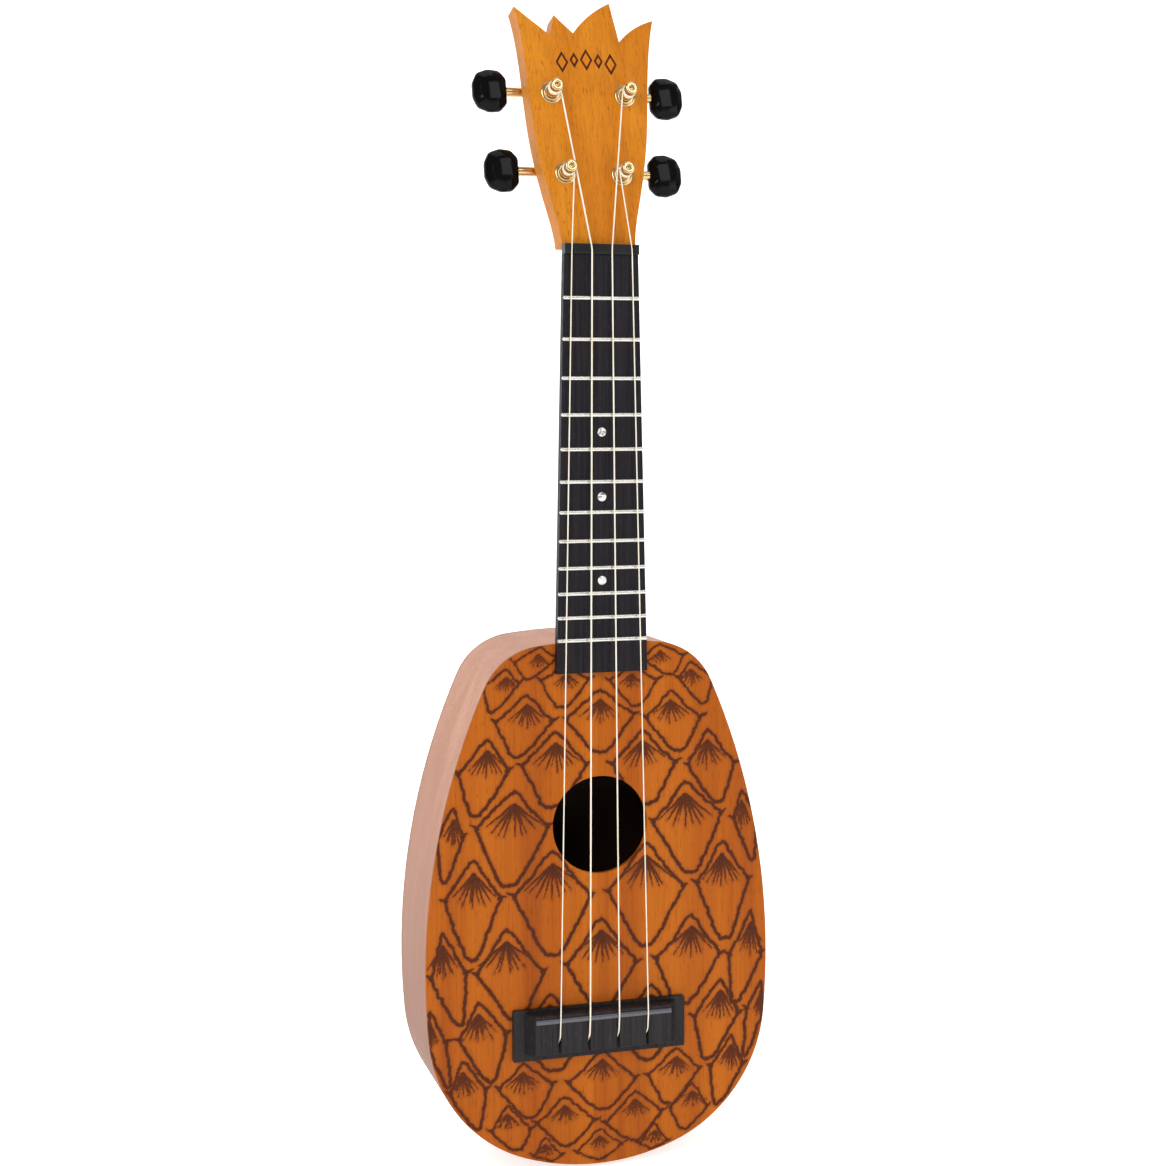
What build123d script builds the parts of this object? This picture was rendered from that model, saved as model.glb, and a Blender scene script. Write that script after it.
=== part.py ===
from build123d import *
import os
from math import acos, atan2, cos, degrees, hypot, pi, radians, sin

# Soprano ukulele with a crown-shaped headstock and four geared tuners.
#
# Millimetres. +Z runs up the neck, the front faces -Y and +X is the viewer's right.
# The origin is the middle of the nut's front edge, in the plane of the fingerboard's top.

os.makedirs("parts", exist_ok=True)

# ---- scale and fingerboard ----
scale_length = 346.0
fret_count = 12
board_thickness = 4.0
board_overhang = 15.0  # past the last fret, over the soundboard
board_width_nut = 34.6
board_width_body = 42.3
fret_height = 1.0
fret_width = 2.0
fret_end_margin = 0.1
tang_width = 0.6
tang_depth = 1.5
dot_frets = (5, 7, 10)
dot_radius = 2.0
dot_thickness = 1.0
nut_height = 1.5  # above the fingerboard
nut_length = 4.5
nut_to_headstock = 0.5
nut_edge_radius = 0.6

# ---- body ----
fret_to_body = 0.75
body_length = 246.25
body_depth = 57.0
body_half_width = 82.46
widest_above_bottom = 93.3
top_radius = 233.3
shoulder_radius = 31.3
side_radius = 325.2
lower_radius = 69.2
bottom_radius = 104.9
plate_thickness = 2.0
side_thickness = 2.0
soundhole_radius = 22.6
soundhole_below_top = 85.4
lining_width = 5.0
lining_height = 5.0
neck_block_width = 50.0
neck_block_length = 22.0
tail_block_width = 46.0
tail_block_length = 15.0
brace_width = 5.0
front_brace_height = 7.0
back_brace_height = 8.0
brace_to_soundhole = 8.0
back_brace_spread = 95.0
bridge_plate_width = 74.0
bridge_plate_corner = 2.5
bridge_plate_length = 26.0

# ---- neck ----
neck_depth_first_fret = 14.0
neck_depth_heel = 15.5
heel_width = 9.0  # at its narrow end, next to the back
heel_length = 11.0
heel_into_body = 14.0  # where it is built into before the body is cut away
heel_below_back = 1.0
heel_sweep = 26.0  # how far the heel's curve runs up the neck
heel_inside_neck = 3.5
neck_inset = 0.6  # the fingerboard stands proud of the neck on each side

# ---- headstock ----
headstock_tilt = 12.5
headstock_thickness = 10.5

# ---- tuners ----
upper_post_x = 17.4
upper_post_s = 69.7
lower_post_x = 13.3
lower_post_s = 32.3
upper_button_reach = 42.3  # middle of the button from the centre line
lower_button_reach = 39.0
running_clearance = 0.05
bushing_wall = 1.05
bushing_depth = 8.0
flange_rim = 1.0
flange_height = 1.2
post_radius = 2.9
post_waist_radius = 2.3
post_height = 10.5
post_cap_height = 2.2
waist_height = 4.4
post_tail_radius = 2.4
post_stub_radius = 1.6
string_hole_radius = 0.6
tail_hole_radius = post_radius + 0.3
plate_gauge = 1.0
plate_width = 14.6
plate_above = 14.0
plate_below = 10.0
plate_corner = 3.0
gear_above_plate = 3.5  # middle of wheel and worm behind the tuner plate
gear_module = 0.55
wheel_teeth = 14
wheel_thickness = 3.5
worm_pitch_radius = 1.7
worm_turns = 5
thread_run_out = 0.4  # plain core past each end of the thread
thread_sunk = 0.15  # how far the thread and the teeth are rooted in their cores
tooth_sunk = 0.3
lug_thickness = 1.2
lug_gap = 0.35
lug_wall = 1.2
journal_radius = 1.2
shaft_radius = 1.5
collar_radius = 2.2
button_length = 15.5
button_width = 19.0
button_neck_width = 12.0
button_thickness = 7.5
button_shoulder = 3.2
button_socket = 8.0
button_bevel = 1.6
screw_head_radius = 2.0
screw_head_height = 1.1
screw_shank_radius = 1.1
screw_length = 6.0
screw_to_edge = 0.8
gear_screw_radius = 0.9
gear_screw_length = 5.0
screw_slot_width = 0.6
# tooth and thread sizes in gear modules
tooth_above_pitch = 1.0
tooth_below_pitch = 1.25
thread_above_pitch = 0.9
thread_below_pitch = 1.18
tooth_half_root = 0.76
tooth_half_tip = 0.29
thread_half_root = 0.84
thread_half_tip = 0.29

# ---- strings, bridge and saddle ----
string_names = ("g", "c", "e", "a")
string_diameters = (0.6, 0.8, 0.7, 0.6)
string_span_nut = 28.05
string_span_saddle = 42.1
bridge_offset = -1.0  # the glued bridge sits a little left of the centre line
bridge_width = 83.0
bridge_length = 24.0
bridge_above_saddle = 3.0
wing_thickness = 2.0
block_width = 65.0
block_end_slope = 4.0
block_height = 8.5
bridge_edge_radius = 0.8
block_above_saddle = 1.6
block_length = 18.5
saddle_width = 2.5
saddle_height = 1.0  # above the block
saddle_seat = 2.0
saddle_edge_radius = 0.9
saddle_compensation = 1.0
slot_width = 1.4
slot_below_saddle = 6.5
slot_floor_above_wing = 0.6
string_gap = 0.1
nut_slot_gap = 0.35
string_below_nut = 0.3
string_bend_radius = 3.0
knot_to_slot_end = 1.4
knot_radius = 1.3
winding_gap = 0.1
winding_turns = 3
winding_pitch = 0.95  # in string diameters, so that the turns bed against each other


# ---- frame ----
def front_plane(depth):
    """Plane facing the viewer, a given depth behind the fingerboard's top."""
    return Plane.XZ.offset(-depth)


def fret_distance(number):
    """Distance from the nut's front edge to a fret, by the equal-tempered rule."""
    return scale_length * (1 - 2 ** (-number / 12))


def board_width(distance):
    """Width of the fingerboard at a distance below the nut's front edge."""
    taper = (board_width_body - board_width_nut) / fret_distance(fret_count)
    return board_width_nut + taper * distance


def save(name, block):
    """Label a finished piece and write it to its own file."""
    block.part.label = name
    export_step(block.part, f"parts/{name}.step")


body_top = -fret_distance(fret_count) - fret_to_body
body_bottom = body_top - body_length
soundboard_front = board_thickness
soundboard_back = soundboard_front + plate_thickness
back_outer = soundboard_front + body_depth
back_inner = back_outer - plate_thickness
soundhole_z = body_top - soundhole_below_top
board_length = fret_distance(fret_count) + board_overhang


# ---- body outline: five arcs a side, each tangent to the next ----
def inner_tangent_centre(big_a, radius_a, big_b, radius_b, radius):
    """Centre of a circle that touches two larger circles from inside, on the right."""
    reach_a = radius_a - radius
    reach_b = radius_b - radius
    gap = hypot(big_b[0] - big_a[0], big_b[1] - big_a[1])
    bearing = atan2(big_b[1] - big_a[1], big_b[0] - big_a[0])
    spread = acos((reach_a**2 + gap**2 - reach_b**2) / (2 * reach_a * gap))
    options = []
    for turn in (spread, -spread):
        x = big_a[0] + reach_a * cos(bearing + turn)
        z = big_a[1] + reach_a * sin(bearing + turn)
        options.append((x, z))
    return max(options)


def bearing_of(start, end):
    """Direction from one point to another, in degrees."""
    return degrees(atan2(end[1] - start[1], end[0] - start[0]))


top_centre = (0.0, body_top - top_radius)
bottom_centre = (0.0, body_bottom + bottom_radius)
side_centre = (body_half_width - side_radius, body_bottom + widest_above_bottom)
shoulder_centre = inner_tangent_centre(
    top_centre, top_radius, side_centre, side_radius, shoulder_radius
)
lower_centre = inner_tangent_centre(
    side_centre, side_radius, bottom_centre, bottom_radius, lower_radius
)
top_end = bearing_of(top_centre, shoulder_centre)
side_start = bearing_of(side_centre, shoulder_centre)
side_end = bearing_of(side_centre, lower_centre)
lower_end = bearing_of(bottom_centre, lower_centre)
outline_arcs = (
    (top_centre, top_radius, top_end, 90 - top_end),
    (shoulder_centre, shoulder_radius, side_start, top_end - side_start),
    (side_centre, side_radius, side_end, side_start - side_end),
    (lower_centre, lower_radius, lower_end, side_end - lower_end),
    (bottom_centre, bottom_radius, -90, lower_end + 90),
)


def body_outline(inset=0.0):
    """Face with the body's outline, moved in evenly by an inset."""
    with BuildSketch() as outline:
        with BuildLine():
            for centre, radius, start, sweep_angle in outline_arcs:
                CenterArc(centre, radius - inset, start, sweep_angle)
            mirror(about=Plane.YZ)
        make_face()
    return outline.sketch


neck_block_z = body_top - side_thickness - neck_block_length / 2
tail_block_z = body_bottom + side_thickness + tail_block_length / 2
inner_wall = side_thickness + lining_width

with BuildPart() as soundboard:
    with BuildSketch(front_plane(soundboard_front)):
        add(body_outline())
        with Locations((0, soundhole_z)):
            Circle(soundhole_radius, mode=Mode.SUBTRACT)
    extrude(amount=-plate_thickness)
save("soundboard", soundboard)

with BuildPart() as back:
    with BuildSketch(front_plane(back_inner)):
        add(body_outline())
    extrude(amount=-plate_thickness)
save("back", back)

for name, kept_side in (("side_bass", Keep.BOTTOM), ("side_treble", Keep.TOP)):
    with BuildPart() as side:
        with BuildSketch(front_plane(soundboard_back)):
            add(body_outline())
            add(body_outline(side_thickness), mode=Mode.SUBTRACT)
        extrude(amount=-(back_inner - soundboard_back))
        split(bisect_by=Plane.YZ, keep=kept_side)
    save(name, side)

for name, lining_front in (
    ("soundboard_linings", soundboard_back),
    ("back_linings", back_inner - lining_height),
):
    with BuildPart() as linings:
        with BuildSketch(front_plane(lining_front)):
            add(body_outline(side_thickness))
            add(body_outline(inner_wall), mode=Mode.SUBTRACT)
            with Locations((0, neck_block_z)):
                Rectangle(neck_block_width, 2 * neck_block_length, mode=Mode.SUBTRACT)
            with Locations((0, tail_block_z)):
                Rectangle(tail_block_width, 2 * tail_block_length, mode=Mode.SUBTRACT)
        extrude(amount=-lining_height)
    save(name, linings)

for name, width, length, middle in (
    ("neck_block", neck_block_width, neck_block_length, neck_block_z),
    ("tail_block", tail_block_width, tail_block_length, tail_block_z),
):
    with BuildPart() as block:
        with BuildSketch(front_plane(soundboard_back)):
            add(body_outline(side_thickness))
            with Locations((0, middle)):
                Rectangle(width, length, mode=Mode.INTERSECT)
        extrude(amount=-(back_inner - soundboard_back))
    save(name, block)


def add_bar(front, height, middle):
    """Brace across the body between the linings, added to the open part."""
    with BuildSketch(front_plane(front)) as bar:
        add(body_outline(inner_wall))
        with Locations((0, middle)):
            Rectangle(2 * body_half_width, brace_width, mode=Mode.INTERSECT)
    extrude(bar.sketch, amount=-height)


brace_reach = soundhole_radius + brace_to_soundhole + brace_width / 2
with BuildPart() as soundboard_braces:
    add_bar(soundboard_back, front_brace_height, soundhole_z + brace_reach)
    add_bar(soundboard_back, front_brace_height, soundhole_z - brace_reach)
save("soundboard_braces", soundboard_braces)

back_brace_middle = (body_top + body_bottom) / 2
with BuildPart() as back_braces:
    for step in (back_brace_spread / 2, -back_brace_spread / 2):
        add_bar(back_inner - back_brace_height, back_brace_height, back_brace_middle + step)
save("back_braces", back_braces)

saddle_z = -scale_length - saddle_compensation
bridge_top = saddle_z + saddle_width / 2 + bridge_above_saddle
bridge_z = bridge_top - bridge_length / 2

with BuildPart() as bridge_plate:
    with BuildSketch(front_plane(soundboard_back)):
        with Locations((bridge_offset, bridge_z)):
            RectangleRounded(bridge_plate_width, bridge_plate_length, bridge_plate_corner)
    extrude(amount=-plate_thickness)
save("bridge_plate", bridge_plate)

# ---- headstock frame: x across, s up the face, third axis towards the viewer ----
tilt = radians(headstock_tilt)
headstock_foot = nut_length + nut_to_headstock
headstock_face = Plane(
    origin=(0, board_thickness, headstock_foot),
    x_dir=(1, 0, 0),
    z_dir=(0, -cos(tilt), sin(tilt)),
)


def headstock_plane(depth):
    """Plane parallel to the headstock's front, a given depth behind it."""
    return headstock_face.offset(-depth)


def headstock_outline():
    """Flared sides as one smooth curve each, and four uneven crown points."""
    half_foot = board_width_nut / 2
    left_side = ((-half_foot, 0), (-21.1, 21), (-26.4, 50), (-28.6, 79), (-32.5, 109.5))
    right_side = ((33.2, 106.5), (28.9, 79), (26.4, 50), (21.1, 21), (half_foot, 0))
    with BuildSketch() as outline:
        with BuildLine():
            Spline(*left_side, tangents=((-0.05, 1), (-0.25, 1)))
            Line((-32.5, 109.5), (-16.3, 96.8))
            Line((-16.3, 96.8), (-14.0, 106.5))
            Line((-14.0, 106.5), (-5.4, 98.4))
            ThreePointArc((-5.4, 98.4), (2.7, 107.1), (12.7, 113.6))
            Line((12.7, 113.6), (16.3, 95.3))
            ThreePointArc((16.3, 95.3), (23.7, 102.0), (33.2, 106.5))
            Spline(*right_side, tangents=((-0.25, -1), (-0.05, -1)))
            Line((half_foot, 0), (-half_foot, 0))
        make_face()
    return outline.sketch


class Tuner:
    """Where one tuning machine sits on the headstock."""

    def __init__(self, name, side, post_x, post_s, button_reach):
        self.name = name
        self.side = side
        self.x = side * post_x
        self.s = post_s
        self.button_reach = button_reach


tuners = (
    Tuner("g", -1, lower_post_x, lower_post_s, lower_button_reach),
    Tuner("c", -1, upper_post_x, upper_post_s, upper_button_reach),
    Tuner("e", 1, upper_post_x, upper_post_s, upper_button_reach),
    Tuner("a", 1, lower_post_x, lower_post_s, lower_button_reach),
)

bushing_radius = post_radius + running_clearance + bushing_wall
flange_radius = bushing_radius + flange_rim
wheel_pitch_radius = gear_module * wheel_teeth / 2
worm_core_radius = worm_pitch_radius - thread_below_pitch * gear_module
worm_tip_radius = worm_pitch_radius + thread_above_pitch * gear_module
worm_above_post = wheel_pitch_radius + worm_pitch_radius
thread_pitch = pi * gear_module
worm_half = worm_turns * thread_pitch / 2 + thread_run_out
lug_near = worm_half + lug_gap
lug_far = lug_near + lug_thickness
plate_back = headstock_thickness + plate_gauge
gear_depth = plate_back + gear_above_plate
wheel_front = gear_depth - wheel_thickness / 2
wheel_back = gear_depth + wheel_thickness / 2
lug_half_height = shaft_radius + lug_wall
screw_edge = screw_head_radius + screw_to_edge
screw_offsets = (plate_above - screw_edge, screw_edge - plate_below)


def face_point(x, s, height):
    """Point over the headstock's front, height measured towards the viewer."""
    return headstock_face.from_local_coords(Vector(x, s, height))


def bore(places, radius, near, far, mode=Mode.ADD):
    """Cylinders square to the headstock between two depths behind its front."""
    with BuildSketch(headstock_plane(near)) as rings:
        with Locations(*places):
            Circle(radius)
    extrude(rings.sketch, amount=near - far, mode=mode)


def shaft_plane(tuner, outward):
    """Plane across a worm's axis, a given distance outward from its post."""
    return Plane(
        origin=face_point(tuner.x + tuner.side * outward, tuner.s + worm_above_post, -gear_depth),
        x_dir=(0, -sin(tilt), -cos(tilt)),
        z_dir=(tuner.side, 0, 0),
    )


def shaft_step(tuner, radius, near, far, mode=Mode.ADD):
    """Cylinder about a worm's axis between two distances outward from its post."""
    with BuildSketch(shaft_plane(tuner, near)) as disc:
        Circle(radius)
    extrude(disc.sketch, amount=far - near, mode=mode)


def post_section_plane(tuner):
    """Plane through a post's axis: its x runs out from the axis, its y towards the viewer."""
    return Plane(
        origin=face_point(tuner.x, tuner.s, 0),
        x_dir=(1, 0, 0),
        z_dir=(0, -sin(tilt), -cos(tilt)),
    )


def post_axis(tuner):
    """Axis of a post, pointing towards the viewer."""
    return Axis(face_point(tuner.x, tuner.s, 0), headstock_face.z_dir)


def post_places():
    """Every post's place on the headstock's face."""
    return [(tuner.x, tuner.s) for tuner in tuners]


def screw_places():
    """Both screws of every tuner plate, on the headstock's face."""
    return [(tuner.x, tuner.s + step) for tuner in tuners for step in screw_offsets]


# ---- neck: shaft, heel and headstock from one piece of wood ----
def neck_section(z, half_width, depth):
    """Half ellipse across the neck, flat on the fingerboard's seat."""
    with BuildSketch(Plane.XY.offset(z)) as section:
        with BuildLine():
            EllipticalCenterArc((0, board_thickness), half_width, depth, 0, arc_size=180)
            Line((half_width, board_thickness), (-half_width, board_thickness))
        make_face()
    return section.sketch


def heel_section(depth, half_width, length):
    """Slice of the heel facing the viewer, rounded at its upper end."""
    with BuildSketch(front_plane(depth)) as section:
        with BuildLine():
            EllipticalCenterArc((0, body_top), half_width, length, 0, arc_size=180)
            Polyline(
                (-half_width, body_top),
                (-half_width, body_top - heel_into_body),
                (half_width, body_top - heel_into_body),
                (half_width, body_top),
            )
        make_face()
    return section.sketch


heel_end = back_outer - heel_below_back
heel_start = board_thickness + neck_depth_heel / 2
heel_stations = (0.0, 0.12, 0.3, 0.55, 1.0)

neck_depth_nut = headstock_thickness / cos(tilt)
neck_swell = neck_depth_first_fret - neck_depth_nut
neck_stations = (
    (headstock_foot, neck_depth_nut),
    (0.0, neck_depth_nut + 0.4 * neck_swell),
    (-0.4 * fret_distance(1), neck_depth_nut + 0.8 * neck_swell),
    (-fret_distance(1), neck_depth_first_fret),
    (-fret_distance(4), (neck_depth_first_fret + neck_depth_heel) / 2),
    (body_top, neck_depth_heel),
)
heel_spread = (board_width_body - heel_width) / 2 - heel_inside_neck

with BuildPart() as neck:
    loft(
        [
            neck_section(z, board_width(max(-z, 0.0)) / 2 - neck_inset, depth)
            for z, depth in neck_stations
        ],
        ruled=True,
    )
    loft(
        [
            heel_section(
                heel_start + station * (heel_end - heel_start),
                heel_width / 2 + heel_spread * (1 - station) ** 1.5,
                heel_length + heel_sweep * (1 - station) ** 2.6,
            )
            for station in heel_stations
        ]
    )
    with BuildSketch(headstock_face):
        add(headstock_outline())
    extrude(amount=-headstock_thickness)
    with BuildSketch(front_plane(soundboard_front)):
        add(body_outline())
    extrude(amount=-body_depth, mode=Mode.SUBTRACT)
    bore(post_places(), bushing_radius, 0, bushing_depth, Mode.SUBTRACT)
    bore(post_places(), tail_hole_radius, bushing_depth, headstock_thickness, Mode.SUBTRACT)
    bore(
        screw_places(),
        screw_shank_radius,
        headstock_thickness - screw_length,
        headstock_thickness,
        Mode.SUBTRACT,
    )
save("neck", neck)

# ---- fingerboard, frets, dots and nut ----
dot_places = [(0, -(fret_distance(fret) + fret_distance(fret - 1)) / 2) for fret in dot_frets]

with BuildPart() as fingerboard:
    with BuildSketch(front_plane(0)):
        Polygon(
            (-board_width(0) / 2, 0),
            (-board_width(board_length) / 2, -board_length),
            (board_width(board_length) / 2, -board_length),
            (board_width(0) / 2, 0),
        )
    extrude(amount=-board_thickness)
    for number in range(1, fret_count + 1):
        with Locations((0, 0, -fret_distance(number))):
            Box(
                2 * board_width_body,
                tang_depth,
                tang_width,
                align=(Align.CENTER, Align.MIN, Align.CENTER),
                mode=Mode.SUBTRACT,
            )
    with BuildSketch(front_plane(0)):
        with Locations(*dot_places):
            Circle(dot_radius)
    extrude(amount=-dot_thickness, mode=Mode.SUBTRACT)
save("fingerboard", fingerboard)

for number in range(1, fret_count + 1):
    fret_z = -fret_distance(number)
    half_crown = fret_width / 2
    with BuildPart() as fret:
        with BuildSketch(Plane.YZ):
            with BuildLine():
                ThreePointArc(
                    (0, fret_z - half_crown), (-fret_height, fret_z), (0, fret_z + half_crown)
                )
                Line((0, fret_z + half_crown), (0, fret_z - half_crown))
            make_face()
            with Locations((tang_depth / 2, fret_z)):
                Rectangle(tang_depth, tang_width)
        extrude(amount=board_width(-fret_z) / 2 - fret_end_margin, both=True)
    save(f"fret_{number:02d}", fret)

with BuildPart() as position_dots:
    with BuildSketch(front_plane(0)):
        with Locations(*dot_places):
            Circle(dot_radius)
    extrude(amount=-dot_thickness)
save("position_dots", position_dots)


# ---- strings: heights where each one bends ----
def spread(index, span):
    """Place of a string across the neck, counted from the left."""
    return span * (index / (len(string_names) - 1) - 0.5)


string_nut_y = string_below_nut - nut_height
saddle_top = soundboard_front - block_height - saddle_height
wing_front = soundboard_front - wing_thickness
block_front = soundboard_front - block_height
block_top = saddle_z + saddle_width / 2 + block_above_saddle
block_bottom = block_top - block_length
slot_start = saddle_z - saddle_width / 2 - slot_below_saddle
slot_floor = wing_front - slot_floor_above_wing
knot_y = wing_front - knot_radius - string_gap

with BuildPart() as nut:
    with Locations((0, -nut_height, 0)):
        Box(
            board_width_nut,
            nut_height + board_thickness,
            nut_length,
            align=(Align.CENTER, Align.MIN, Align.MIN),
        )
    front_edges = nut.edges().filter_by(Axis.X).group_by(Axis.Y)[0]
    fillet(front_edges, nut_edge_radius)
    for index, diameter in enumerate(string_diameters):
        underside = string_nut_y + diameter / 2 + string_gap
        with BuildSketch(Plane.YZ.offset(spread(index, string_span_nut))):
            Polygon(
                (-2 * nut_height, -1),
                (underside, -1),
                (underside, nut_length / 2),
                (underside + nut_length / 2, nut_length + 1),
                (-2 * nut_height, nut_length + 1),
            )
        extrude(amount=diameter / 2 + nut_slot_gap, both=True, mode=Mode.SUBTRACT)
save("nut", nut)

# ---- bridge and saddle ----
with BuildPart() as bridge:
    with BuildSketch(front_plane(wing_front)):
        with Locations((bridge_offset, bridge_z)):
            RectangleRounded(bridge_width, bridge_length, bridge_edge_radius)
    extrude(amount=-wing_thickness)
    with BuildSketch(Plane.XY.offset(block_bottom)):
        with Locations((bridge_offset, 0)):
            Polygon(
                (-block_width / 2 - block_end_slope, wing_front),
                (-block_width / 2, block_front),
                (block_width / 2, block_front),
                (block_width / 2 + block_end_slope, wing_front),
            )
    extrude(amount=block_length)
    block_edges = bridge.edges().filter_by(Axis.X).group_by(Axis.Y)[0]
    fillet(block_edges, bridge_edge_radius)
    with Locations((bridge_offset, saddle_top, saddle_z)):
        Box(
            block_width,
            saddle_height + saddle_seat,
            saddle_width,
            align=(Align.CENTER, Align.MIN, Align.CENTER),
            mode=Mode.SUBTRACT,
        )
    for index in range(len(string_names)):
        slot_x = bridge_offset + spread(index, string_span_saddle)
        with Locations((slot_x, saddle_top, slot_start)):
            Box(
                slot_width,
                slot_floor - saddle_top,
                block_length,
                align=(Align.CENTER, Align.MIN, Align.MAX),
                mode=Mode.SUBTRACT,
            )
save("bridge", bridge)

with BuildPart() as saddle:
    with Locations((bridge_offset, saddle_top, saddle_z)):
        Box(
            block_width,
            saddle_height + saddle_seat,
            saddle_width,
            align=(Align.CENTER, Align.MIN, Align.CENTER),
        )
    crest_edges = saddle.edges().filter_by(Axis.X).group_by(Axis.Y)[0]
    fillet(crest_edges, saddle_edge_radius)
save("saddle", saddle)


# ---- strings ----
for index, (name, diameter, tuner) in enumerate(zip(string_names, string_diameters, tuners)):
    radius = diameter / 2
    nut_x = spread(index, string_span_nut)
    saddle_x = bridge_offset + spread(index, string_span_saddle)
    wrap_radius = post_waist_radius + winding_gap + radius
    turn_step = winding_pitch * diameter
    wrap_height = waist_height + winding_gap + radius + turn_step / 2
    to_nut = (nut_x - tuner.x, -tuner.s)
    distance = hypot(*to_nut)
    swing = atan2(to_nut[1], to_nut[0]) - tuner.side * acos(wrap_radius / distance)
    wrap_x = tuner.x + wrap_radius * cos(swing)
    wrap_s = tuner.s + wrap_radius * sin(swing)
    crest_y = saddle_top - radius - string_gap
    slot_edge_y = block_front - radius - string_gap
    route = (
        face_point(wrap_x, wrap_s, wrap_height),
        (nut_x, string_nut_y, nut_length / 2),
        (saddle_x, crest_y, saddle_z),
        (saddle_x, slot_edge_y, slot_start),
        (saddle_x, knot_y, block_bottom + knot_to_slot_end),
        (saddle_x, knot_y, block_bottom - knot_radius),
    )
    with BuildPart() as string:
        with BuildLine() as string_line:
            FilletPolyline(*route, radius=string_bend_radius)
        start = string_line.line @ 0
        with BuildSketch(Plane(origin=start, z_dir=string_line.line % 0)):
            Circle(radius)
        sweep(path=string_line.line)
        with Locations(route[-1]):
            Sphere(knot_radius)
        with BuildSketch(post_section_plane(tuner)):
            for turn in range(winding_turns):
                with Locations((wrap_radius, wrap_height + (turn - 0.5) * turn_step)):
                    Circle(radius)
        revolve(axis=post_axis(tuner))
    save(f"string_{name}", string)

# ---- tuning machines ----
with BuildPart() as post_bushings:
    bore(post_places(), flange_radius, -flange_height, 0)
    bore(post_places(), bushing_radius, 0, bushing_depth)
    bore(
        post_places(),
        post_radius + running_clearance,
        -flange_height,
        bushing_depth,
        Mode.SUBTRACT,
    )
save("post_bushings", post_bushings)

with BuildPart() as plate_screws:
    bore(screw_places(), screw_shank_radius, plate_back - screw_length, plate_back)
    bore(screw_places(), screw_head_radius, plate_back, plate_back + screw_head_height)
save("plate_screws", plate_screws)

tooth_root = wheel_pitch_radius - tooth_below_pitch * gear_module
tooth_tip = wheel_pitch_radius + tooth_above_pitch * gear_module
tooth_foot = tooth_root - tooth_sunk
thread_foot = worm_core_radius - thread_sunk

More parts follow.
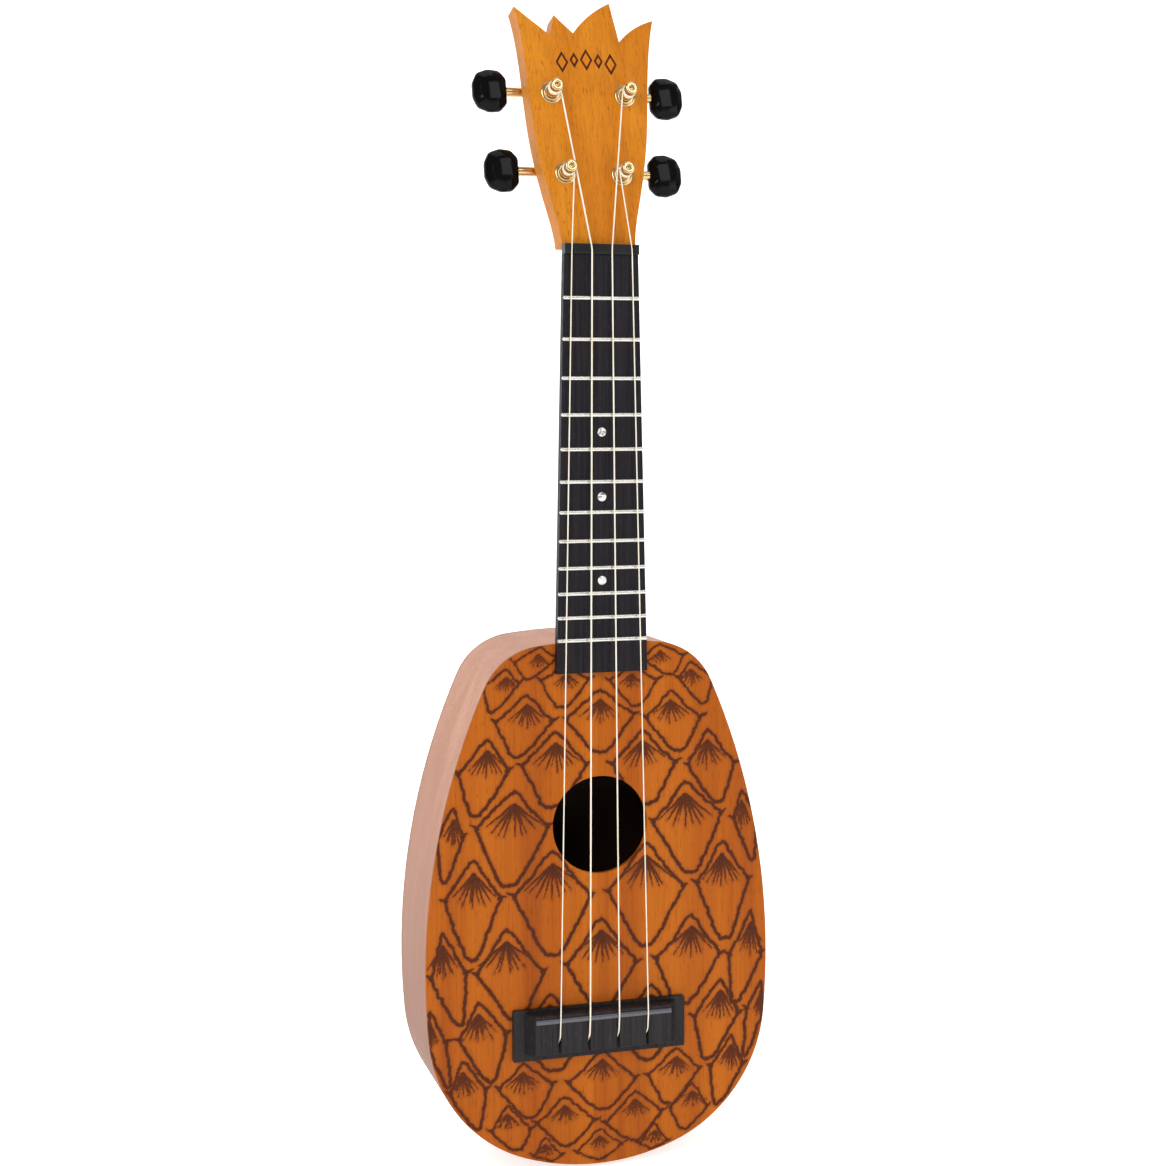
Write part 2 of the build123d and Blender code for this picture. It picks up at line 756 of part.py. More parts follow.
for tuner in tuners:
    worm_s = tuner.s + worm_above_post
    here = [(tuner.x, tuner.s)]
    screws_here = [(tuner.x, tuner.s + step) for step in screw_offsets]
    button_near = tuner.button_reach - tuner.side * tuner.x - button_length / 2

    with BuildPart() as tuner_plate:
        with BuildSketch(headstock_plane(headstock_thickness)):
            with Locations((tuner.x, tuner.s + (plate_above - plate_below) / 2)):
                RectangleRounded(plate_width, plate_above + plate_below, plate_corner)
        extrude(amount=-plate_gauge)
        bore(here, tail_hole_radius, headstock_thickness, plate_back, Mode.SUBTRACT)
        bore(screws_here, screw_shank_radius, headstock_thickness, plate_back, Mode.SUBTRACT)
        for lug_middle in (-(lug_near + lug_far) / 2, (lug_near + lug_far) / 2):
            with BuildSketch(headstock_plane(plate_back)):
                with Locations((tuner.x + lug_middle, worm_s)):
                    Rectangle(lug_thickness, 2 * lug_half_height)
            extrude(amount=plate_back - gear_depth - lug_half_height)
        shaft_step(tuner, journal_radius + running_clearance, -lug_far - 1, 0, Mode.SUBTRACT)
        shaft_step(tuner, shaft_radius + running_clearance, 0, lug_far + 1, Mode.SUBTRACT)
    save(f"tuner_plate_{tuner.name}", tuner_plate)

    thread_plane = Plane(
        origin=face_point(tuner.x - worm_turns * thread_pitch / 2, worm_s, -gear_depth),
        x_dir=(0, -sin(tilt), -cos(tilt)),
        z_dir=(1, 0, 0),
    )
    thread_path = thread_plane * Helix(thread_pitch, worm_turns * thread_pitch, worm_pitch_radius)
    with BuildPart() as worm_shaft:
        with BuildSketch(
            Plane(origin=thread_path @ 0, x_dir=thread_plane.x_dir, z_dir=thread_path % 0)
        ):
            Polygon(
                (thread_foot - worm_pitch_radius, -thread_half_root * gear_module),
                (worm_tip_radius - worm_pitch_radius, -thread_half_tip * gear_module),
                (worm_tip_radius - worm_pitch_radius, thread_half_tip * gear_module),
                (thread_foot - worm_pitch_radius, thread_half_root * gear_module),
            )
        sweep(path=thread_path, is_frenet=True)
        shaft_step(tuner, journal_radius, -lug_far - lug_gap, -worm_half)
        shaft_step(tuner, worm_core_radius, -worm_half, worm_half)
        shaft_step(tuner, shaft_radius, worm_half, button_near + button_socket)
        shaft_step(tuner, collar_radius, lug_far + lug_gap, button_near)
    save(f"worm_shaft_{tuner.name}", worm_shaft)

    with BuildPart() as button:
        with BuildSketch(headstock_plane(gear_depth - button_thickness / 2)):
            inner = tuner.x + tuner.side * button_near
            shoulder = inner + tuner.side * button_shoulder
            widest = inner + tuner.side * button_length / 2
            outer = inner + tuner.side * button_length
            half = button_width / 2
            half_neck = button_neck_width / 2
            with BuildLine():
                Polyline(
                    (widest, worm_s + half),
                    (shoulder, worm_s + half),
                    (inner, worm_s + half_neck),
                    (inner, worm_s - half_neck),
                    (shoulder, worm_s - half),
                    (widest, worm_s - half),
                )
                ThreePointArc((widest, worm_s - half), (outer, worm_s), (widest, worm_s + half))
            make_face()
        extrude(amount=-button_thickness)
        broad_faces = button.faces().filter_by(Axis(face_point(0, 0, 0), headstock_face.z_dir))
        chamfer(broad_faces.edges(), button_bevel)
        shaft_step(tuner, shaft_radius, button_near, button_near + button_socket, Mode.SUBTRACT)
    save(f"button_{tuner.name}", button)

    with BuildPart() as string_post:
        bore(here, post_radius, -post_height, -post_height + post_cap_height)
        bore(here, post_waist_radius, -post_height + post_cap_height, -waist_height)
        bore(here, post_radius, -waist_height, bushing_depth)
        bore(here, post_tail_radius, bushing_depth, wheel_front)
        bore(here, post_stub_radius, wheel_front, wheel_back)
        bore(here, gear_screw_radius, wheel_back - gear_screw_length, wheel_back, Mode.SUBTRACT)
        hole_height = post_height - post_cap_height - 1.5 * string_hole_radius
        with BuildSketch(
            Plane(
                origin=face_point(tuner.x - 2 * post_radius, tuner.s, hole_height),
                z_dir=(1, 0, 0),
            )
        ):
            Circle(string_hole_radius)
        extrude(amount=4 * post_radius, mode=Mode.SUBTRACT)
    save(f"string_post_{tuner.name}", string_post)

    with BuildPart() as worm_wheel:
        with BuildSketch(headstock_plane(wheel_front)):
            with Locations((tuner.x, tuner.s)):
                Circle(tooth_root)
                with PolarLocations(0, wheel_teeth, start_angle=90):
                    Polygon(
                        (tooth_foot, -tooth_half_root * gear_module),
                        (tooth_tip, -tooth_half_tip * gear_module),
                        (tooth_tip, tooth_half_tip * gear_module),
                        (tooth_foot, tooth_half_root * gear_module),
                    )
                Circle(post_stub_radius, mode=Mode.SUBTRACT)
        extrude(amount=-wheel_thickness)
    save(f"worm_wheel_{tuner.name}", worm_wheel)

    with BuildPart() as wheel_screw:
        bore(here, gear_screw_radius, wheel_back - gear_screw_length, wheel_back)
        bore(here, screw_head_radius, wheel_back, wheel_back + screw_head_height)
        with BuildSketch(headstock_plane(wheel_back + screw_head_height)):
            with Locations((tuner.x, tuner.s)):
                Rectangle(3 * screw_head_radius, screw_slot_width)
        extrude(amount=screw_head_height / 2, mode=Mode.SUBTRACT)
    save(f"wheel_screw_{tuner.name}", wheel_screw)
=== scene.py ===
# %% [markdown]
# This lesson finishes a small ukulele whose parts already exist as plain solids.
# The solids come first, because every new surface is placed from them.
# The box of those solids is kept; it sets where the backdrop starts.

import bmesh
import bpy
import numpy as np
from mathutils import Matrix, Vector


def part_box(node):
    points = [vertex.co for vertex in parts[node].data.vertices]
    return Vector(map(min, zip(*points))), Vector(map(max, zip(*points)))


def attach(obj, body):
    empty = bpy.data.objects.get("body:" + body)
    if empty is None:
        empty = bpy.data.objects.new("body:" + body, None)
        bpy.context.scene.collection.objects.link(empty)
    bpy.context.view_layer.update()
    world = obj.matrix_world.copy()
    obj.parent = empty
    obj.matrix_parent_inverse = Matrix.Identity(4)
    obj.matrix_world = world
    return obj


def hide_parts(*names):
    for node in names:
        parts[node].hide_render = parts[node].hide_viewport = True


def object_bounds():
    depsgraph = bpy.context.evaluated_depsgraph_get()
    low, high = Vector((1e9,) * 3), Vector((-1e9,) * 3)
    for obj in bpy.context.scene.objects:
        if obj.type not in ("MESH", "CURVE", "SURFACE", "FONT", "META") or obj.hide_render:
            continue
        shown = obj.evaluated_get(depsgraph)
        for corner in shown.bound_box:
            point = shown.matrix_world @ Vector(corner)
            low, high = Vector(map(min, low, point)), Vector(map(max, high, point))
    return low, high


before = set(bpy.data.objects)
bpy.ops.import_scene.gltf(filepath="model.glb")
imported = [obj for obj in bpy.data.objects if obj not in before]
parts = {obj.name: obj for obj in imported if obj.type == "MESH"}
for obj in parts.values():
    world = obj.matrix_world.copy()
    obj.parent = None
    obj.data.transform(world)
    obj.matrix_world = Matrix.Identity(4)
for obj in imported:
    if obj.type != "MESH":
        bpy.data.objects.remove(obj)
plain_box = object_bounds()
MM = 0.001
NAMES = ("g", "c", "e", "a")
print(len(parts), "parts, box", [round(v, 4) for v in (*plain_box[0], *plain_box[1])])

# %% [markdown]
# The camera stands a little left of the instrument and slightly above its middle.
# A long lens keeps the neck and the body in one calm perspective.
# The direction is written as a turn and a dip, and the two side vectors follow from it.

# %% Camera
stand = np.array([-0.24962, -0.80246, -0.07297])
turn, dip, roll = 0.29124, 0.08809, -0.00333
ahead = np.array([np.sin(turn) * np.cos(dip), np.cos(turn) * np.cos(dip), -np.sin(dip)])
level = np.array([np.cos(turn), -np.sin(turn), 0.0])
above = np.cross(level, ahead)
right = np.cos(roll) * level + np.sin(roll) * above
up = np.cross(right, ahead)
lens = bpy.data.cameras.new("camera")
lens.sensor_width, lens.lens = 36.0, 57.51
lens.clip_start, lens.clip_end = 0.05, 20.0
camera = bpy.data.objects.new("camera", lens)
bpy.context.scene.collection.objects.link(camera)
pose = np.eye(4)
pose[:3, 0], pose[:3, 1], pose[:3, 2], pose[:3, 3] = right, up, -ahead, stand
camera.matrix_world = Matrix(pose.tolist())
bpy.context.scene.camera = camera
print("camera at", stand, "lens", lens.lens)

# %% [markdown]
# Soft light comes from large panels, as in a studio tent.
# A big panel at the front left gives the long pale reflections on the black parts.
# The room itself is a plain white that fills the shadows.

# %% Light
scene = bpy.context.scene
scene.view_settings.view_transform = "Standard"
scene.view_settings.look = "None"
world = bpy.data.worlds.new("white room")
scene.world = world
world.use_nodes = True
world.node_tree.nodes["Background"].inputs["Color"].default_value = (1, 1, 1, 1)
world.node_tree.nodes["Background"].inputs["Strength"].default_value = 0.26


def panel(name, place, target, size, power):
    """A square light at place that faces target: its -Z axis is the line between them."""
    lamp = bpy.data.lights.new(name, "AREA")
    lamp.shape, lamp.size, lamp.energy = "SQUARE", size, power
    lit = bpy.data.objects.new(name, lamp)
    scene.collection.objects.link(lit)
    back = np.array(place, float) - np.array(target, float)
    back /= np.linalg.norm(back)
    side = np.cross([0, 0, 1], back)
    side /= np.linalg.norm(side)
    place_in = np.eye(4)
    place_in[:3, 0], place_in[:3, 1] = side, np.cross(back, side)
    place_in[:3, 2], place_in[:3, 3] = back, place
    lit.matrix_world = Matrix(place_in.tolist())
    return lit


panel("key panel", (-0.9, -1.3, 0.7), (0, 0, -0.2), 1.0, 14)
panel("fill panel", (1.2, -1.1, 0.1), (0, 0, -0.2), 1.2, 6.5)
panel("top panel", (0.1, 0.2, 1.3), (0, 0, -0.2), 1.2, 5.5)
panel("gleam panel", (0.45, -1.15, 0.85), (0, 0, 0.05), 0.45, 1.8)

# %% [markdown]
# The backdrop is one sheet that lies flat and then curves up behind the instrument.
# One profile is carried sideways, so the sheet has no corner where floor meets wall.

# %% Backdrop


def grid_faces(rows, columns, ring=False):
    """Quads between neighbouring rows and columns; with ring the last column meets the first."""
    r = np.arange(rows - 1)[:, None]
    c = np.arange(columns if ring else columns - 1)[None, :]
    after = (c + 1) % columns
    return np.stack(
        [r * columns + c, r * columns + after, (r + 1) * columns + after, (r + 1) * columns + c],
        axis=-1,
    ).reshape(-1, 4)


def new_piece(name, points, faces, smooth=True):
    """A mesh object at the origin from arrays of points in metres and lists of faces."""
    mesh = bpy.data.meshes.new(name)
    mesh.from_pydata(np.asarray(points, float).tolist(), [], [list(map(int, f)) for f in faces])
    mesh.update()
    mesh.polygons.foreach_set("use_smooth", [smooth] * len(mesh.polygons))
    piece = bpy.data.objects.new(name, mesh)
    scene.collection.objects.link(piece)
    return piece


lowest = plain_box[0][2] - 0.002
bend = np.linspace(0, np.pi / 2, 25)
depth = np.concatenate([[-3.0, 0.9], 0.9 + 0.6 * np.sin(bend[1:]), [1.5]])
height = np.concatenate([[0, 0], 0.6 - 0.6 * np.cos(bend[1:]), [4.0]]) + lowest
across = np.array([-4.0, 4.0])
sheet_points = np.stack(
    [
        np.broadcast_to(across, (len(depth), 2)),
        np.broadcast_to(depth[:, None], (len(depth), 2)),
        np.broadcast_to(height[:, None], (len(depth), 2)),
    ],
    axis=-1,
).reshape(-1, 3)
backdrop = new_piece("backdrop", sheet_points, grid_faces(len(depth), 2)[:, ::-1])
paper = bpy.data.materials.new("white paper")
paper.use_nodes = True
paper_shader = paper.node_tree.nodes["Principled BSDF"]
paper_shader.inputs["Base Color"].default_value = (0.9, 0.9, 0.9, 1)
paper_shader.inputs["Roughness"].default_value = 0.9
paper_shader.inputs["Specular IOR Level"].default_value = 0.0
paper_shader.inputs["Emission Color"].default_value = (1, 1, 1, 1)
paper_shader.inputs["Emission Strength"].default_value = 0.62
backdrop.data.materials.append(paper)
print("backdrop starts at height", round(lowest, 4))

# %% [markdown]
# Every finish is a small network of nodes on the object's own coordinates.
# The helpers below make a finish, a stretched noise, a colour ramp and a bump.
# Stretching a noise along the wood's length turns round blotches into grain.

# %% Finish helpers


def finish(name, rough=0.5, metal=0.0, coat=0.0, coat_rough=0.1, specular=0.5):
    """A new material with its shader's plain numbers set on the shader's own sockets."""
    material = bpy.data.materials.new(name)
    material.use_nodes = True
    shader = material.node_tree.nodes["Principled BSDF"]
    shader.inputs["Roughness"].default_value = rough
    shader.inputs["Metallic"].default_value = metal
    shader.inputs["Coat Weight"].default_value = coat
    shader.inputs["Coat Roughness"].default_value = coat_rough
    shader.inputs["Specular IOR Level"].default_value = specular
    return material


def node(material, kind, **sockets):
    """Adds a node and sets its unlinked inputs by name; spaces are written as underscores."""
    made = material.node_tree.nodes.new(kind)
    for key, value in sockets.items():
        made.inputs[key.replace("_", " ")].default_value = value
    return made


def link(material, source, target):
    """Joins an output socket to an input socket."""
    material.node_tree.links.new(source, target)


def grain(material, stretch, tilt=0.0, detail=4.0, scale=1.0, twist=0.0):
    """Noise on object coordinates, turned by tilt about X and scaled by stretch along each axis."""
    place = node(material, "ShaderNodeTexCoord")
    mapping = node(material, "ShaderNodeMapping")
    mapping.inputs["Rotation"].default_value = (tilt, 0, 0)
    mapping.inputs["Scale"].default_value = stretch
    link(material, place.outputs["Object"], mapping.inputs["Vector"])
    noise = node(material, "ShaderNodeTexNoise", Scale=scale, Detail=detail, Distortion=twist)
    link(material, mapping.outputs["Vector"], noise.inputs["Vector"])
    return noise.outputs["Fac"]


def ramp(material, value, stops):
    """Colour by value: stops are (position, colour) pairs with straight blends between them."""
    made = node(material, "ShaderNodeValToRGB")
    band = made.color_ramp
    while len(band.elements) < len(stops):
        band.elements.new(0.5)
    for element, (position, colour) in zip(band.elements, stops):
        element.position = position
        element.color = (*colour, 1.0)
    link(material, value, made.inputs["Fac"])
    return made.outputs["Color"]


def spread(material, value, low, high, to_low=0.0, to_high=1.0):
    """Carries value from low..high to to_low..to_high, held at both ends."""
    made = node(material, "ShaderNodeMapRange")
    made.clamp = True
    for key, number in (
        ("From Min", low), ("From Max", high), ("To Min", to_low), ("To Max", to_high)
    ):
        made.inputs[key].default_value = number
    link(material, value, made.inputs["Value"])
    return made.outputs["Result"]


def blend(material, amount, first, second, mode="MIX"):
    """Mixes two colours; each is a socket or a plain colour, and amount a socket or a number."""
    made = node(material, "ShaderNodeMix")
    made.data_type, made.blend_type = "RGBA", mode
    for socket, value in ((made.inputs[0], amount), (made.inputs[6], first), (made.inputs[7], second)):
        if isinstance(value, bpy.types.NodeSocket):
            link(material, value, socket)
        elif isinstance(value, (int, float)):
            socket.default_value = value
        else:
            socket.default_value = (*value, 1.0)
    return made.outputs[2]


def bump(material, height, strength, distance, under=None):
    """A bump from height, on top of an earlier bump if one is given."""
    made = node(material, "ShaderNodeBump", Strength=strength, Distance=distance)
    link(material, height, made.inputs["Height"])
    if under is not None:
        link(material, under, made.inputs["Normal"])
    return made.outputs["Normal"]


def paint(material, colour=None, rough=None, normal=None):
    """Joins the finished colour, roughness and normal to the shader."""
    shader = material.node_tree.nodes["Principled BSDF"]
    for socket, name in ((colour, "Base Color"), (rough, "Roughness"), (normal, "Normal")):
        if socket is not None:
            link(material, socket, shader.inputs[name])
    return material


def shade(red, green, blue):
    """A colour on the 0 to 255 screen scale, turned into the linear value that light adds up in."""
    values = np.array([red, green, blue]) / 255
    return tuple(np.where(values <= 0.04045, values / 12.92, ((values + 0.055) / 1.055) ** 2.4))


print("finish helpers ready")

# %% [markdown]
# The woods differ in colour and in how their pores look.
# The front is an orange-brown board, the sides a pale pinkish one, the neck golden.
# Each has broad soft bands, fine lines and short dark pores, all along the length.

# %% Woods
TILT = np.radians(12.5)


def wood(name, pale, middle, dark, rough=0.42, coat=0.04, tilt=0.0, pores=0.5, gloss=0.12):
    """Bands, lines and pores of noise, each stretched along the wood, mixed into three browns."""
    made = finish(name, rough=rough, coat=coat, coat_rough=0.22, specular=gloss)
    bands = grain(made, (55, 40, 3.0), tilt, detail=2.0, twist=0.6)
    lines = grain(made, (900, 500, 9), tilt, detail=3.0)
    pore = grain(made, (1700, 1000, 160), tilt, detail=1.0)
    base = ramp(made, bands, [(0.3, dark), (0.5, middle), (0.7, pale)])
    fine = spread(made, lines, 0.35, 0.65, 0.86, 1.08)
    grey = ramp(made, fine, [(0.0, (0.0,) * 3), (1.0, (1.0,) * 3)])
    tone = blend(made, 1.0, base, grey, "MULTIPLY")
    specks = spread(made, pore, 0.62, 0.70, 0.0, pores)
    colour = blend(made, specks, tone, tuple(0.42 * c for c in dark))
    rough_map = spread(made, lines, 0.3, 0.7, rough - 0.05, rough + 0.08)
    normal = bump(made, lines, 0.12, 0.0002)
    return made, colour, rough_map, normal


def plain_wood(name, *colours, **options):
    """A wood with nothing added to it."""
    made, colour, rough_map, normal = wood(name, *colours, **options)
    return paint(made, colour, rough_map, normal)


# Painted shade: the wood inside the body is given near-black browns, standing in for the shade in the
# cavity behind the sound hole.
inner_wood_painted_shade = plain_wood(
    "inner wood with painted shade", shade(46, 33, 24), shade(40, 28, 20), shade(34, 23, 17),
    rough=0.75, coat=0.0,
)
neck_wood = plain_wood(
    "golden neck wood", shade(214, 134, 28), shade(203, 121, 17), shade(190, 108, 11),
    tilt=-TILT, pores=0.5,
)


def pale_wood(name, painted_inner_shade):
    """Pale wood with painted shade: darker toward the foot as if lit from above, and with a true second
    argument a near-black inner face, painted shade inside the body, told by depth.
    """
    made, colour, rough_map, normal = wood(
        name, shade(211, 160, 136), shade(204, 152, 128), shade(196, 144, 120),
        pores=0.14, coat=0.0, gloss=0.05,
    )
    place = node(made, "ShaderNodeTexCoord")
    split = node(made, "ShaderNodeSeparateXYZ")
    link(made, place.outputs["Object"], split.inputs["Vector"])
    # Painted shade: the colour darkens toward the foot, because the top is lit from above and the lower
    # part gets less light.
    foot = spread(made, split.outputs["Z"], -0.37, -0.21, 1.0, 0.0)
    colour = blend(made, foot, colour, shade(152, 110, 92))
    if painted_inner_shade:
        # Painted shade: the inner face of the back is painted near-black, standing in for the shade
        # inside the body.
        inner = spread(made, split.outputs["Y"], 0.0592, 0.0596, 1.0, 0.0)
        colour = blend(made, inner, colour, shade(40, 27, 20))
    return paint(made, colour, rough_map, normal)


side_wood = pale_wood("pale side wood", False)
back_finish = pale_wood("pale back wood", True)
print("woods:", side_wood.name, inner_wood_painted_shade.name, neck_wood.name)

# %% [markdown]
# The black parts are stained wood, moulded plastic and a glossy saddle.
# Stained wood still shows its grain as faint lighter streaks and a broken sheen.

# %% Black parts


def stained(name, ground, streak, rough, gloss=0.12):
    """Near-black wood: a few streaks a little lighter than the ground, and a fine open grain."""
    made = finish(name, rough=rough, specular=gloss)
    lines = grain(made, (700, 500, 14), detail=4.0)
    specks = grain(made, (1600, 1200, 240), detail=2.0)
    colour = ramp(made, lines, [(0.35, ground), (0.6, streak)])
    flecks = spread(made, specks, 0.60, 0.72, 0.0, 0.5)
    colour = blend(made, flecks, colour, tuple(2.2 * c for c in streak))
    rough_map = spread(made, specks, 0.3, 0.7, rough - 0.08, rough + 0.12)
    return paint(made, colour, rough_map, bump(made, specks, 0.18, 0.00015))


board_black = stained("black fingerboard", shade(22, 20, 24), shade(36, 32, 37), 0.42)
bridge_black = stained("black bridge wood", shade(24, 22, 23), shade(42, 38, 40), 0.36, gloss=0.17)


def moulded(name, colour, rough, coat, gloss=0.3):
    """Plastic with a faint waviness, so that a reflection is never a perfect mirror."""
    made = finish(name, rough=rough, coat=coat, coat_rough=0.05, specular=gloss)
    wave = grain(made, (160, 160, 160), detail=2.0)
    tone = ramp(made, wave, [(0.3, colour), (0.7, tuple(1.35 * c for c in colour))])
    rough_map = spread(made, wave, 0.3, 0.7, rough * 0.8, rough * 1.25)
    return paint(made, tone, rough_map, bump(made, wave, 0.06, 0.0002))


button_black = moulded("black button gloss", shade(9, 9, 10), 0.08, 0.06, gloss=0.08)
saddle_black = moulded("black saddle gloss", shade(40, 42, 52), 0.12, 1.0, gloss=0.7)
nut_black = moulded("black nut", shade(20, 19, 21), 0.35, 0.0)
print("black parts:", board_black.name, bridge_black.name, button_black.name)

# %% [markdown]
# Gold plate and fret wire are metals, so their colour is in the reflection.
# Fine brushing and a few dull spots in the roughness keep them from looking like mirrors.

# %% Metals, strings and dots


def metal(name, colour, rough):
    """Metal with a fine cloudy roughness and a little darkening in the dull places."""
    made = finish(name, rough=rough, metal=1.0)
    cloud = grain(made, (420, 420, 420), detail=4.0)
    tone = ramp(made, cloud, [(0.3, tuple(0.96 * c for c in colour)), (0.65, colour)])
    rough_map = spread(made, cloud, 0.3, 0.7, rough * 0.8, rough * 1.3)
    return paint(made, tone, rough_map, bump(made, cloud, 0.02, 0.00005))


gold = metal("gold plate", shade(214, 188, 140), 0.2)
fret_silver = metal("fret wire", shade(225, 222, 214), 0.22)


def clear_nylon():
    """Monofilament: pale, slightly see-through, with a lengthwise change in sheen."""
    made = finish("clear nylon", rough=0.28, coat=0.3)
    shader = made.node_tree.nodes["Principled BSDF"]
    shader.inputs["Subsurface Weight"].default_value = 0.15
    shader.inputs["Subsurface Radius"].default_value = (0.001,) * 3
    wave = grain(made, (900, 900, 60), detail=2.0)
    tone = ramp(made, wave, [(0.3, shade(238, 226, 200)), (0.7, shade(250, 243, 226))])
    return paint(made, tone, spread(made, wave, 0.3, 0.7, 0.22, 0.36))


nylon = clear_nylon()


def dot_pearl():
    """Pearl plastic: pale swirls with one dark slanting streak across."""
    made = finish("pearl dot", rough=0.2, coat=0.5)
    swirl = grain(made, (240, 240, 500), tilt=0.9, detail=3.0, twist=1.5)
    stops = [(0.36, shade(96, 92, 92)), (0.46, shade(222, 221, 218)), (0.7, shade(250, 250, 248))]
    return paint(made, ramp(made, swirl, stops))


pearl = dot_pearl()
print("metals:", gold.name, fret_silver.name, "and", nylon.name, pearl.name)

# %% [markdown]
# Most plain parts already have the right shape, but their edges are knife-sharp.
# A refined copy is merged, smoothed by angle and given a narrow bevel that catches light.
# The copy stands in for the plain part, which stays untouched.

# %% Refined copies
SHARP = 32


def give(piece, material, body):
    """Puts the finish on a piece and lets it ride on its body."""
    piece.data.materials.clear()
    piece.data.materials.append(material)
    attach(piece, body)
    return piece


def refine(part, material, body="root", bevel=0.0):
    """A merged copy of a part's triangles: edges that turn more than SHARP are sharp or bevelled."""
    plain = parts[part]
    mesh = plain.data.copy()
    mesh.name = part + "_finished"
    shape = bmesh.new()
    shape.from_mesh(mesh)
    bmesh.ops.remove_doubles(shape, verts=shape.verts, dist=2e-6)
    bmesh.ops.dissolve_degenerate(shape, edges=shape.edges, dist=1e-6)
    limit = np.radians(SHARP)
    for face in shape.faces:
        face.smooth = True
    for edge in shape.edges:
        edge.smooth = not (edge.is_manifold and edge.calc_face_angle(0) > limit)
    shape.to_mesh(mesh)
    shape.free()
    piece = bpy.data.objects.new(mesh.name, mesh)
    scene.collection.objects.link(piece)
    if bevel:
        rounding = piece.modifiers.new("soft edges", "BEVEL")
        rounding.width, rounding.segments = bevel, 2
        rounding.limit_method, rounding.angle_limit = "ANGLE", limit
        rounding.harden_normals = True
    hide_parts(part)
    return give(piece, material, body)


for part, material, bevel in (
    ("side_bass", side_wood, 0.0), ("side_treble", side_wood, 0.0), ("back", back_finish, 0.0004),
    ("neck", neck_wood, 0.0005), ("fingerboard", board_black, 0.0), ("nut", nut_black, 0.0),
    ("bridge", bridge_black, 0.0), ("saddle", saddle_black, 0.0),
):
    refine(part, material, bevel=bevel)
for number in range(1, 13):
    refine(f"fret_{number:02d}", fret_silver)
refine("plate_screws", gold)
for name in NAMES:
    refine(f"tuner_plate_{name}", gold)
    refine(f"worm_shaft_{name}", gold, f"button_shaft_{name}")
    for part in ("worm_wheel", "wheel_screw"):
        refine(f"{part}_{name}", gold, f"post_{name}")
INSIDE = (
    "soundboard_linings", "back_linings", "neck_block", "tail_block",
    "soundboard_braces", "bridge_plate", "back_braces",
)
for part, material in (*((part, inner_wood_painted_shade) for part in INSIDE), ("position_dots", pearl)):
    parts[part].data.materials.clear()
    parts[part].data.materials.append(material)
print("refined copies made")

# %% [markdown]
# The front is burned with a fruit-skin lattice: rows of shield-shaped cells, each with a tuft.
# Every line is a stroke with a width, and the board only needs to know how far each of its
# points is from the nearest stroke. That distance is kept on the board as an attribute, so
# the finish can draw a crisp line between two points of a fairly coarse surface.

# %% Lattice of cells
# Corner height, then (centre, width, rise, drop) for each cell; the cells are mirrored.
ROWS = (
    (-181.0, ((30, 20, 5, 9),)),
    (-192.5, ((17, 23, 6, 12), (46, 17, 7, 12))),
    (-209.5, ((0, 33, 12.8, 15.8), (36, 27, 11.5, 16.4))),
    (-231.5, ((21.8, 31, 16.2, 18), (55, 23.5, 14.5, 19.7))),
    (-258.5, ((42.5, 34, 17.5, 25.5), (71, 12, 12, 21))),
    (-290.7, ((23.2, 37, 21, 26.8), (60.6, 26, 19, 27))),
    (-325.0, ((0, 34, 21.5, 21), (43, 32, 20, 21.5), (72, 16.5, 20.3, 22.5))),
    (-354.5, ((23.6, 30.5, 17.5, 18), (56.6, 22.5, 16.5, 20.7), (77, 9, 14, 21))),
    (-379.5, ((0, 33, 13, 14.5), (36.4, 26, 10.8, 15), (63.6, 17, 14.4, 17.7))),
    (-398.6, ((16.6, 28, 11.2, 11.6), (43.2, 19, 11.2, 9.5))),
    (-412.8, ((0, 22, 9, 5), (26.2, 14, 8, 3))),
)
pen = np.random.default_rng(47)


def lean_at(z):
    """How far a cell leans: outwards going down near the shoulders, inwards near the bottom."""
    return np.interp(z, [-420, -325, -290, -258, -190], [-0.07, -0.075, 0.015, 0.05, 0.10])


def wavy(points, step=1.1, shake=0.22):
    """Points every step along a polyline, each pushed sideways by a smoothed random amount."""
    points = np.asarray(points, float)
    runs = np.hypot(*np.diff(points, axis=0).T)
    along = np.concatenate([[0], np.cumsum(runs)])
    count = max(int(along[-1] / step), 2) + 1
    s = np.linspace(0, along[-1], count)
    line = np.stack([np.interp(s, along, points[:, i]) for i in (0, 1)], axis=1)
    push = pen.normal(0, shake, (count, 2))
    push = (push + np.roll(push, 1, axis=0)) / 1.4
    push[0] *= 0.3
    push[-1] *= 0.3
    return line + push


def stroke(points, width_start, width_end, **options):
    """Segments of one stroke: start, end and the half width at both, one row for each segment."""
    line = wavy(points, **options)
    half = np.linspace(width_start, width_end, len(line)) / 2 + pen.normal(0, 0.07, len(line))
    half = np.maximum(half, 0.08)
    return np.column_stack([line[:-1], line[1:], half[:-1], half[1:]])


